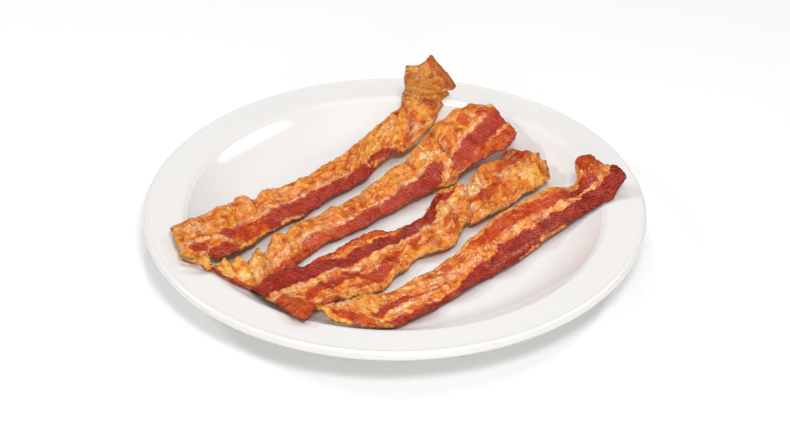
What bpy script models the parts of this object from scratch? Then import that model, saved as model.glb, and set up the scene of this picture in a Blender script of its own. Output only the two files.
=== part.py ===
"""Four fried bacon strips lying across a round white dinner plate.

The plate is one turned solid with a foot ring. Each strip is one thin wavy solid:
a sheet between its far edge and its near edge, rippled, kept off the plate and thickened.
Frame: metres, +Z up, origin on the table under the plate's centre.
"""

import math

import bpy
import numpy as np

MM = 0.001

# Plate (mm)
PLATE_RADIUS = 114.3
PLATE_HEIGHT = 21.0
RIM_WIDTH = 18.3
RIM_DROP = 1.2          # how far the rim's inner edge lies below its outer edge
LIP_HEIGHT = 4.2        # height of the rounded outer edge
FLOOR_TOP = 8.0
FLOOR_RADIUS = 72.0     # flat part of the well
WALL_POWER = 1.8        # how hollow the well's wall is
WALL_SHARES = (0.3, 0.55, 0.78, 1.0)      # where up the wall the outline has points
WALL_THICKNESS = 4.6
WALL_FOOT_WIDTH = 9.0   # how far past the well's floor the wall's underside starts
WALL_FOOT_RISE = 3.0    # and how far above the foot ring's root
UNDER_RIM_OFFSET = 2.0  # how far out the rim's underside starts
FOOT_OUTER = 70.0
FOOT_WIDTH = 5.0
FOOT_HEIGHT = 2.8
FOOT_SPREAD = 1.0       # how far the foot ring widens at its root, on each side
LIP_ANGLES = (90, 45, 0, -45, -90)        # degrees
SLOPE_STEP = 0.5
PLATE_STEPS = 64
RIM_INNER = PLATE_RADIUS - RIM_WIDTH
RIM_INNER_Z = PLATE_HEIGHT - RIM_DROP

# Strips (mm)
STRIP_THICKNESS = 2.2
STRIP_GAP = 0.5         # least clearance between a strip and the plate
CELLS_ALONG = 52
CELLS_ACROSS = 7
LINE_SAMPLES = 200      # samples for the length of a strip's middle line
DIRECTION_STEP = 1e-3   # half the share of a strip's length over which its direction is taken

# Each strip's edges, from its left end to its right end. A row is one station across the strip:
# the far edge's place, then the near edge's place, each (x, y, height) in mm.
STRIP_EDGES = {
    "strip_back": [
        ((-100, -26, 24.5), (-83, -45, 21.6)),
        ((-82, 0, 17), (-66, -25, 14.5)),
        ((-66, 14, 14), (-50, -6, 12)),
        ((-45, 28, 14), (-35, 10, 11.5)),
        ((-24, 48, 15), (-20, 23, 11.5)),
        ((-10, 71, 18), (-8, 40, 12)),
        ((0, 81, 21), (3, 52, 13)),
        ((4, 87, 25), (19, 72, 18)),
        ((4, 86, 29), (24, 85, 24)),
        ((5, 83, 38), (29, 86, 33)),
        ((6, 80, 47), (21, 84, 48)),
    ],
    "strip_mid_back": [
        ((-92, -52, 26), (-89, -55, 25)),
        ((-82, -49, 25.5), (-78, -55, 19)),
        ((-70, -47, 21), (-60, -57, 11)),
        ((-61, -33, 17), (-50, -46, 10.5)),
        ((-52, -19, 16), (-40, -30, 10.5)),
        ((-43, -9, 15), (-29, -17, 10.5)),
        ((-21, 8, 15), (-9, -2, 11)),
        ((-5, 28, 17), (14, 18, 12)),
        ((8, 43, 20), (22, 26, 13)),
        ((14, 54, 22), (33, 35, 16)),
        ((29, 79, 24), (48, 46, 21)),
        ((46, 82, 26), (58, 56, 25)),
    ],
    "strip_mid_front": [
        ((-61, -59, 16), (-36, -89, 21.5)),
        ((-45, -39, 14), (-22, -63, 11)),
        ((-22, -23, 14), (-5, -55, 11)),
        ((0, -10, 14), (10, -31, 11.5)),
        ((16, 0, 15), (27, -22, 12)),
        ((19, 8, 20), (31, -7, 13)),
        ((33, 21, 18), (41, -2, 13)),
        ((42, 36, 16), (58, 16, 12)),
        ((52, 53, 14.5), (71, 27, 14)),
        ((60, 62, 17), (73, 30, 20)),
    ],
    "strip_front": [
        ((-32, -81, 21), (-25, -90, 20)),
        ((-19, -69, 16), (-4, -86, 13)),
        ((-5, -60, 13.5), (13, -71, 11)),
        ((15, -44, 14), (33, -53, 11)),
        ((29, -28, 15), (49, -39, 11)),
        ((45, -8, 17), (65, -20, 11)),
        ((69, 12, 20), (84, -2, 14)),
        ((82, 13, 23), (96, 1, 21)),
        ((84, 20, 31), (105, 7, 28)),
        ((90, 18, 35), (103, 11, 33)),
    ],
}

# Ripples: heights (mm) of the waves at the far edge, the near edge and the middle, their length (mm)
# along the strip, and the share of a wave at which they start
STRIP_RIPPLES = {
    "strip_back": {"far": 1.3, "near": 1.0, "middle": 1.0, "length": 26.0, "start": 0.10},
    "strip_mid_back": {"far": 1.9, "near": 0.9, "middle": 1.2, "length": 19.0, "start": 0.45},
    "strip_mid_front": {"far": 1.2, "near": 1.4, "middle": 1.2, "length": 24.0, "start": 0.75},
    "strip_front": {"far": 1.0, "near": 1.2, "middle": 0.9, "length": 29.0, "start": 0.30},
}

# An uneven wave is a main wave and a smaller, quicker one: height, pace and start (radians) of each
WAVE_PARTS = ((0.7, 1.0, 0.0), (0.3, 1.7, 1.3))
# The near edge's and the middle's waves keep another pace than the far edge's, and start elsewhere
NEAR_PACE, NEAR_START = 1.13, 0.37
MIDDLE_PACE, MIDDLE_START = 0.8, 0.61

PLATE_ROUGHNESS = 0.12
STRIP_ROUGHNESS = 0.4
COLOURS = {
    "plate": (0.88, 0.87, 0.86),
    "strip_back": (0.52, 0.19, 0.05),
    "strip_mid_back": (0.55, 0.21, 0.06),
    "strip_mid_front": (0.40, 0.09, 0.04),
    "strip_front": (0.42, 0.10, 0.03),
}


def clear_scene():
    for obj in list(bpy.data.objects):
        bpy.data.objects.remove(obj, do_unlink=True)


def material(name, colour, roughness):
    made = bpy.data.materials.new(name)
    made.use_nodes = True
    shader = made.node_tree.nodes["Principled BSDF"]
    shader.inputs["Base Color"].default_value = (*colour, 1.0)
    shader.inputs["Roughness"].default_value = roughness
    shader.inputs["Metallic"].default_value = 0.0
    return made


# ---- Plate ----

def plate_top(radius):
    """Height of the plate's upper face at a radius: flat floor, hollow wall, gently rising rim."""
    up_wall = np.clip((radius - FLOOR_RADIUS) / (RIM_INNER - FLOOR_RADIUS), 0.0, 1.0)
    along_rim = np.clip((radius - RIM_INNER) / RIM_WIDTH, 0.0, 1.0)
    wall = (RIM_INNER_Z - FLOOR_TOP) * up_wall ** WALL_POWER
    return FLOOR_TOP + wall + RIM_DROP * along_rim


def plate_profile():
    """The turned outline from the well's centre, over the rim and lip, back under to the axis."""
    outline = [(0.0, FLOOR_TOP), (FLOOR_RADIUS, FLOOR_TOP)]
    for share in WALL_SHARES:
        radius = FLOOR_RADIUS + share * (RIM_INNER - FLOOR_RADIUS)
        outline.append((radius, float(plate_top(radius))))
    lip = LIP_HEIGHT / 2
    for degrees in LIP_ANGLES:
        angle = math.radians(degrees)
        outline.append((
            PLATE_RADIUS - lip + lip * math.cos(angle),
            PLATE_HEIGHT - lip + lip * math.sin(angle),
        ))
    foot_inner = FOOT_OUTER - FOOT_WIDTH
    outline += [
        (RIM_INNER + UNDER_RIM_OFFSET, RIM_INNER_Z - WALL_THICKNESS),
        (FLOOR_RADIUS + WALL_FOOT_WIDTH, FOOT_HEIGHT + WALL_FOOT_RISE),
        (FOOT_OUTER + FOOT_SPREAD, FOOT_HEIGHT),
        (FOOT_OUTER, 0.0),
        (foot_inner, 0.0),
        (foot_inner - FOOT_SPREAD, FOOT_HEIGHT),
        (0.0, FOOT_HEIGHT),
    ]
    return outline


def make_plate():
    outline = plate_profile()
    mesh = bpy.data.meshes.new("plate")
    points = [(radius * MM, 0.0, height * MM) for radius, height in outline]
    edges = [(i, i + 1) for i in range(len(points) - 1)]
    mesh.from_pydata(points, edges, [])
    plate = bpy.data.objects.new("plate", mesh)
    turn = plate.modifiers.new("Turned", "SCREW")
    turn.axis = "Z"
    turn.angle = math.tau
    turn.steps = PLATE_STEPS
    turn.render_steps = PLATE_STEPS
    turn.use_merge_vertices = True
    turn.merge_threshold = 0.00001
    turn.use_smooth_shade = True
    return plate


# ---- Strips ----

def through(places, share):
    """A smooth curve through the places; share runs from 0 at the first to 1 at the last."""
    places = np.asarray(places, float)
    padded = np.vstack([2 * places[0] - places[1], places, 2 * places[-1] - places[-2]])
    at = np.clip(share, 0.0, 1.0) * (len(places) - 1)
    piece = np.minimum(at.astype(int), len(places) - 2)
    t = (at - piece)[:, None]
    p0, p1, p2, p3 = (padded[piece + k] for k in range(4))
    return 0.5 * (
        2 * p1 + (p2 - p0) * t + (2 * p0 - 5 * p1 + 4 * p2 - p3) * t ** 2
        + (3 * p1 - 3 * p2 + p3 - p0) * t ** 3
    )


def middle_line(edges, share):
    """Places halfway between a strip's two edges."""
    return (through([row[0] for row in edges], share) + through([row[1] for row in edges], share)) / 2


def wave(turns):
    """An uneven wave between -1 and 1, which comes round about once for each turn."""
    return sum(height * np.sin(math.tau * pace * turns + start) for height, pace, start in WAVE_PARTS)


def relief_across(ripples, turns, across):
    """Height (mm) of the ripples: one wave dies away from each edge, and one swells in the middle."""
    return (
        ripples["far"] * (1 - across) ** 2 * wave(turns)
        + ripples["near"] * across ** 2 * wave(turns * NEAR_PACE + NEAR_START)
        + ripples["middle"] * np.sin(math.pi * across) * wave(turns * MIDDLE_PACE + MIDDLE_START)
    )


def strip_surface(edges, ripples, along, across):
    """Places (mm) on a strip's middle surface, for shares along it and across it.

    along runs from 0 at the left end to 1 at the right end, and across from 0 at the far edge
    to 1 at the near edge.
    """
    far = through([row[0] for row in edges], along)
    near = through([row[1] for row in edges], along)
    width = near - far
    ahead = middle_line(edges, along + DIRECTION_STEP) - middle_line(edges, along - DIRECTION_STEP)
    face = np.cross(width, ahead)
    face /= np.linalg.norm(face, axis=1)[:, None]

    shares = np.linspace(0.0, 1.0, LINE_SAMPLES)
    steps = np.linalg.norm(np.diff(middle_line(edges, shares), axis=0), axis=1)
    gone = np.interp(along, shares, np.concatenate([[0.0], np.cumsum(steps)]))
    turns = gone / ripples["length"] + ripples["start"]
    places = far + width * across[:, None] + face * relief_across(ripples, turns, across)[:, None]
    return lift_off_plate(places)


def lift_off_plate(places):
    """Raises whatever would touch the plate to rest just above it."""
    radius = np.hypot(places[:, 0], places[:, 1])
    slope = (plate_top(radius + SLOPE_STEP) - plate_top(radius - SLOPE_STEP)) / (2 * SLOPE_STEP)
    room = STRIP_GAP + STRIP_THICKNESS / 2 * np.sqrt(1 + slope ** 2)
    lowest = np.maximum(plate_top(radius), plate_top(radius + STRIP_THICKNESS / 2)) + room
    places[:, 2] = np.maximum(places[:, 2], lowest)
    return places


def make_strip(name):
    bpy.ops.mesh.primitive_grid_add(x_subdivisions=CELLS_ALONG, y_subdivisions=CELLS_ACROSS, size=1.0)
    strip = bpy.context.object
    strip.name = name
    mesh = strip.data
    flat = np.empty(len(mesh.vertices) * 3, np.float32)
    mesh.vertices.foreach_get("co", flat)
    flat = flat.reshape(-1, 3).astype(float) + 0.5
    places = strip_surface(STRIP_EDGES[name], STRIP_RIPPLES[name], flat[:, 0], 1.0 - flat[:, 1])
    mesh.vertices.foreach_set("co", (places * MM).astype(np.float32).ravel())
    mesh.update()
    shell = strip.modifiers.new("Thickness", "SOLIDIFY")
    shell.thickness = STRIP_THICKNESS * MM
    shell.offset = 0.0
    mesh.shade_smooth()
    return strip


def main():
    clear_scene()
    collection = bpy.data.collections.new("bacon_on_plate")
    bpy.context.scene.collection.children.link(collection)
    parts = [make_plate()] + [make_strip(name) for name in STRIP_EDGES]
    for part in parts:
        for user in list(part.users_collection):
            user.objects.unlink(part)
        collection.objects.link(part)
        roughness = PLATE_ROUGHNESS if part.name == "plate" else STRIP_ROUGHNESS
        part.data.materials.append(material(part.name, COLOURS[part.name], roughness))


main()
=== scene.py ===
import math
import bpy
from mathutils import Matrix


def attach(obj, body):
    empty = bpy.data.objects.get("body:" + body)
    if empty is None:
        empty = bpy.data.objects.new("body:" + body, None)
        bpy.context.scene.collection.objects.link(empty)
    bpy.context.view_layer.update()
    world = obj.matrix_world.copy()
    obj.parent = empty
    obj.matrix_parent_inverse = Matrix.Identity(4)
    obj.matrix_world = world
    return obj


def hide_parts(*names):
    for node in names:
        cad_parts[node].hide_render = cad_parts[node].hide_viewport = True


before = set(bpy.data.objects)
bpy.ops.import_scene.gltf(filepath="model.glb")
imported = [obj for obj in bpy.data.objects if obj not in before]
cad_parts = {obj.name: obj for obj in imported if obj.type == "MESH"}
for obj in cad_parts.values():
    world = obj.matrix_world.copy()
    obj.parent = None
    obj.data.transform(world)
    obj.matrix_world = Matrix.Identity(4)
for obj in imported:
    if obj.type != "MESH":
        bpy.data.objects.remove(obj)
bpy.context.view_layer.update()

from types import SimpleNamespace

import bpy
import numpy as np
from mathutils import Quaternion, Vector

mm = 0.001
scene = bpy.context.scene


# Shader maths. A Socket is one output of a node: +, - and * on sockets and numbers add Math nodes.
class Socket:
    def __init__(self, tree, out=None):
        self.tree = tree
        self.out = out

    # adds a node of a type, sets its settings first, then its sockets' values or links
    def node(self, kind, settings=None, sockets=None, output=0):
        made = self.tree.nodes.new("ShaderNode" + kind)
        for setting, value in (settings or {}).items():
            if setting == "stops":
                fillRamp(made.color_ramp, value)
            else:
                setattr(made, setting, value)
        for key, value in (sockets or {}).items():
            if isinstance(value, Socket):
                self.tree.links.new(value.out, made.inputs[key])
            else:
                made.inputs[key].default_value = value
        return Socket(self.tree, made.outputs[output] if made.outputs else None)

    def maths(self, operation, *values):
        return self.node("Math", {"operation": operation}, dict(enumerate(values)))

    def __add__(self, other):
        return self.maths("ADD", self, other)

    __radd__ = __add__

    def __sub__(self, other):
        return self.maths("SUBTRACT", self, other)

    def __rsub__(self, other):
        return self.maths("SUBTRACT", other, self)

    def __mul__(self, other):
        return self.maths("MULTIPLY", self, other)

    __rmul__ = __mul__

    # 0 below low, 1 above high, a smooth step between
    def rise(self, low, high):
        return self.node("MapRange", {"interpolation_type": "SMOOTHSTEP"},
                         {"Value": self, "From Min": low, "From Max": high})

    # this colour where the mask is 0, the other (a colour or a socket) where it is 1
    def mixed(self, other, mask):
        if not isinstance(other, Socket):
            other = (*other, 1.0)
        return self.node("Mix", {"data_type": "RGBA", "clamp_factor": True},
                         {0: mask, 6: self, 7: other}, output=2)

    def noise(self, scale, detail=3.0, roughness=0.55, distortion=0.0):
        return self.node("TexNoise", {}, {"Vector": self, "Scale": scale, "Detail": detail,
                                          "Roughness": roughness, "Distortion": distortion})


# sets a colour ramp to its stops (place, colour)
def fillRamp(ramp, stops):
    while len(ramp.elements) > 1:
        ramp.elements.remove(ramp.elements[-1])
    for index, (place, colour) in enumerate(stops):
        stop = ramp.elements[0] if index == 0 else ramp.elements.new(place)
        stop.position = place
        stop.color = (*colour, 1.0)


# an empty material, and the Socket that its nodes start from
def newMaterial(name):
    made = bpy.data.materials.new(name)
    made.use_nodes = True
    made.node_tree.nodes.clear()
    return made, Socket(made.node_tree)


# ends a material: one Principled shader with the given sockets
def finishMaterial(start, sockets):
    shader = start.node("BsdfPrincipled", {}, sockets)
    start.node("OutputMaterial", {}, {"Surface": shader})


# Noise on arrays

# smooth noise between about -1 and 1: each whole place has a random slope, and the heights
# that the four nearest slopes give are blended by the step 6t^5 - 15t^4 + 10t^3
def slopeNoise(x, y, seed):
    turn = np.random.default_rng(seed).uniform(0.0, math.tau, (256, 256))
    left, low = np.floor(x).astype(int), np.floor(y).astype(int)
    fx, fy = x - left, y - low
    blendX = fx ** 3 * (fx * (6 * fx - 15) + 10)
    blendY = fy ** 3 * (fy * (6 * fy - 15) + 10)
    total = np.zeros(np.shape(x))
    for i, shareX in ((0, 1 - blendX), (1, blendX)):
        for j, shareY in ((0, 1 - blendY), (1, blendY)):
            angle = turn[(left + i) % 256, (low + j) % 256]
            total += (np.cos(angle) * (fx - i) + np.sin(angle) * (fy - j)) * shareX * shareY
    return total * 1.7


# noise in layers, each twice as fine and half as high as the one before
def layeredNoise(x, y, seed, layers=3):
    total = sum(slopeNoise(x * 2 ** k, y * 2 ** k, seed + 17 * k) / 2 ** k for k in range(layers))
    return total / sum(0.5 ** k for k in range(layers)) * 1.25


# round blisters, one to each unit cell, at a random place with a random radius r: the height is
# r sqrt(1 - (d/r)^2) at the distance d from its middle, and the highest one shows
def blisters(x, y, seed, smallest=0.3, largest=0.85):
    rng = np.random.default_rng(seed)
    atX, atY = rng.uniform(0.1, 0.9, (2, 256, 256))
    radii = rng.uniform(smallest, largest, (256, 256))
    left, low = np.floor(x).astype(int), np.floor(y).astype(int)
    height = np.zeros(np.shape(x))
    for i in (-1, 0, 1):
        for j in (-1, 0, 1):
            cell = ((left + i) % 256, (low + j) % 256)
            away = np.hypot(x - left - i - atX[cell], y - low - j - atY[cell]) / radii[cell]
            height = np.maximum(height, radii[cell] * np.sqrt(np.clip(1 - away ** 2, 0, 1)))
    return height


# a net of crests with round hollows between: 1 - |noise| squared, in two layers, from 0 to 1
def crestNet(x, y, seed):
    total = 0
    for k, share in ((0, 0.68), (1, 0.32)):
        away = np.minimum(np.abs(slopeNoise(x * 2 ** k, y * 2 ** k, seed + 17 * k)) * 1.9, 1)
        total = total + share * (1 - away) ** 2
    return total


# 0 below low, 1 above high, and 3t^2 - 2t^3 between
def smoothStep(low, high, value):
    t = np.clip((value - low) / (high - low), 0.0, 1.0)
    return t * t * (3 - 2 * t)


# a value for each place from rows (place, value): eased by 3t^2 - 2t^3 from one row to the next
def easedRows(rows, place):
    rows = np.asarray(rows, float)
    at = np.interp(place, rows[:, 0], np.arange(len(rows)))
    piece = np.minimum(at.astype(int), len(rows) - 2)
    t = at - piece
    t = t * t * (3 - 2 * t)
    return rows[piece, 1] * (1 - t) + rows[piece + 1, 1] * t


# a smooth curve through places, the share running from 0 at the first to 1 at the last:
# the cubic whose slope at a place is half the step between its two neighbours
def through(places, share):
    places = np.asarray(places, float)
    padded = np.vstack([2 * places[0] - places[1], places, 2 * places[-1] - places[-2]])
    at = np.clip(share, 0.0, 1.0) * (len(places) - 1)
    piece = np.minimum(at.astype(int), len(places) - 2)
    t = (at - piece)[..., None]
    p0, p1, p2, p3 = (padded[piece + k] for k in range(4))
    return 0.5 * (2 * p1 + (p2 - p0) * t + (2 * p0 - 5 * p1 + 4 * p2 - p3) * t ** 2
                  + (3 * p1 - 3 * p2 + p3 - p0) * t ** 3)


def unit(vectors):
    return vectors / np.maximum(np.linalg.norm(vectors, axis=-1, keepdims=True), 1e-9)


def addObject(name, data):
    made = bpy.data.objects.new(name, data)
    scene.collection.objects.link(made)
    return made


# corners of the four-sided cells of a grid whose points carry these numbers
def gridQuads(index):
    corners = (index[:-1, :-1], index[1:, :-1], index[1:, 1:], index[:-1, 1:])
    return np.stack(corners, axis=-1).reshape(-1, 4)


# puts places (mm) and four-sided faces in a new mesh object, with values at its points and a map
def newPiece(name, places, faces, values=None, mapPlaces=None):
    mesh = bpy.data.meshes.new(name)
    mesh.vertices.add(len(places))
    mesh.vertices.foreach_set("co", (places * mm).astype(np.float32).ravel())
    mesh.loops.add(faces.size)
    mesh.loops.foreach_set("vertex_index", faces.astype(np.int32).ravel())
    mesh.polygons.add(len(faces))
    mesh.polygons.foreach_set("loop_start", np.arange(0, faces.size, 4, dtype=np.int32))
    mesh.polygons.foreach_set("loop_total", np.full(len(faces), 4, np.int32))
    mesh.update(calc_edges=True)
    mesh.validate()
    mesh.shade_smooth()
    for key, value in (values or {}).items():
        layer = mesh.attributes.new(key, "FLOAT", "POINT")
        layer.data.foreach_set("value", value.astype(np.float32).ravel())
    if mapPlaces is not None:
        layer = mesh.uv_layers.new(name="stripPlace")
        layer.uv.foreach_set("vector", mapPlaces[faces.ravel()].astype(np.float32).ravel())
    return addObject(name, mesh)


# Plate (mm)
plateLooks = {
    "radius": 114.3, "height": 21.0, "rimWidth": 18.3, "rimDrop": 1.2, "lipHeight": 4.2,
    "rimEdgeReach": 1.2, "rimEdgeSunk": 0.28,
    "floorTop": 8.0, "floorRadius": 72.0, "wallPower": 1.8, "wallThickness": 4.6,
    "footOuter": 70.0, "footWidth": 5.0, "footHeight": 2.8,
    "turns": 320,
    "glaze": (0.885, 0.865, 0.85), "foot": (0.74, 0.72, 0.68), "speck": (0.70, 0.68, 0.65),
    "roughness": 0.14, "coat": 0.1, "coatRoughness": 0.16,
}
rimInner = plateLooks["radius"] - plateLooks["rimWidth"]
rimInnerZ = plateLooks["height"] - plateLooks["rimDrop"]


# height of the plate's upper face at a radius: a flat floor, a wall that rises with the power
# 1.8 of its share, and a rim that rises evenly
def plateTop(radius):
    upWall = np.clip((radius - plateLooks["floorRadius"]) / (rimInner - plateLooks["floorRadius"]), 0, 1)
    alongRim = np.clip((radius - rimInner) / plateLooks["rimWidth"], 0, 1)
    wall = (rimInnerZ - plateLooks["floorTop"]) * upWall ** plateLooks["wallPower"]
    return plateLooks["floorTop"] + wall + plateLooks["rimDrop"] * alongRim


# an outline with each corner rounded: a parabola from the reach before it to the reach after it
def roundedOutline(corners, reaches, steps=7):
    corners = np.asarray(corners, float)
    t = np.linspace(0, 1, steps)[:, None]
    parts = [corners[:1]]
    for before, corner, after, reach in zip(corners[:-2], corners[1:-1], corners[2:], reaches):
        start = corner + unit(before - corner) * reach
        end = corner + unit(after - corner) * reach
        parts.append((1 - t) ** 2 * start + 2 * t * (1 - t) * corner + t ** 2 * end)
    return np.vstack(parts + [corners[-1:]])


# the turned outline, from the middle of the well over the rim and lip, back under to the axis;
# the rim's inner edge is sunk by 0.28 (1 - x^2)^2, x running from -1 to 1 across its reach
def plateOutline():
    looks = plateLooks
    floor = np.linspace(2.0, looks["floorRadius"], 24, endpoint=False)
    wall = np.linspace(looks["floorRadius"], rimInner - looks["rimEdgeReach"], 30)
    x = np.linspace(-1.0, 1.0, 9)
    edge = rimInner + x * looks["rimEdgeReach"]
    edgeZ = plateTop(edge) - looks["rimEdgeSunk"] * (1 - x ** 2) ** 2
    rim = np.linspace(rimInner + 1.5, looks["radius"] - 2.6, 14)
    lip = looks["lipHeight"] / 2
    angle = np.radians(np.linspace(96, -90, 22))
    lipX = looks["radius"] - lip + lip * np.cos(angle)
    lipZ = looks["height"] - lip + lip * np.sin(angle)
    top = np.column_stack([
        np.concatenate([[0.0], floor, wall, edge, rim, lipX]),
        np.concatenate([[looks["floorTop"]], plateTop(floor), plateTop(wall), edgeZ, plateTop(rim), lipZ]),
    ])
    footOut, footIn = looks["footOuter"], looks["footOuter"] - looks["footWidth"]
    under = roundedOutline([
        (looks["radius"] - lip, looks["height"] - 2 * lip),
        (rimInner + 2.0, rimInnerZ - looks["wallThickness"]),
        (looks["floorRadius"] + 9.0, looks["footHeight"] + 3.0),
        (footOut + 1.0, looks["footHeight"]),
        (footOut, 0.0), (footIn, 0.0),
        (footIn - 1.0, looks["footHeight"]),
        (0.0, looks["footHeight"]),
    ], (5.0, 7.0, 1.6, 0.7, 0.7, 1.6))
    return np.vstack([top, under[1:]])


# turns the outline about the axis: rings of four-sided cells, and triangles to the two poles
def makePlate():
    outline = plateOutline()
    turns = plateLooks["turns"]
    angle = np.arange(turns) / turns * math.tau
    ring = outline[1:-1]
    places = np.stack([ring[:, :1] * np.cos(angle), ring[:, :1] * np.sin(angle),
                       np.repeat(ring[:, 1:], turns, axis=1)], axis=-1).reshape(-1, 3)
    places = np.vstack([places, [[0, 0, outline[0, 1]], [0, 0, outline[-1, 1]]]])
    index = np.arange(len(ring) * turns).reshape(-1, turns)
    faces = gridQuads(np.hstack([index, index[:, :1]]))
    topPole, lowPole = len(ring) * turns + np.arange(2)
    first, last = index[0], index[-1]
    caps = np.concatenate([
        np.column_stack([np.full(turns, topPole), first, np.roll(first, -1)]),
        np.column_stack([np.full(turns, lowPole), np.roll(last, -1), last]),
    ])
    mesh = bpy.data.meshes.new("platePiece")
    mesh.from_pydata((places * mm).tolist(), [], faces.tolist() + caps.tolist())
    mesh.update(calc_edges=True)
    mesh.shade_smooth()
    return addObject("platePiece", mesh)


def glazeMaterial():
    looks = plateLooks
    made, start = newMaterial("glazedChina")
    place = start.node("TexCoord", output="Object")
    height = start.node("SeparateXYZ", {}, {"Vector": place}, output="Z")
    cloud = place.noise(14.0, 2.0)
    specks = place.noise(900.0, 2.0).rise(0.66, 0.74)
    darker = tuple(c * 0.985 for c in looks["glaze"])
    glaze = start.node("ValToRGB", {"stops": [(0.35, darker), (0.65, looks["glaze"])]}, {"Fac": cloud})
    footRing = 1 - height.rise(0.0002, 0.0012)
    colour = glaze.mixed(looks["foot"], footRing).mixed(looks["speck"], specks * 0.25)
    waves = place.noise(55.0, 2.0)
    bump = start.node("Bump", {}, {"Strength": 0.12, "Distance": 0.0006, "Height": waves})
    finishMaterial(start, {
        "Base Color": colour, "Roughness": looks["roughness"] + cloud * 0.05 + footRing * 0.5, "IOR": 1.5,
        "Coat Weight": looks["coat"], "Coat Roughness": looks["coatRoughness"], "Normal": bump,
    })
    return made


# Strips. Their edges, ripples and thickness are the frame's own (mm): a row is one station
# across the strip, its far edge's place and its near edge's place, left end to right end.
stripShapes = {}

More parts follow.
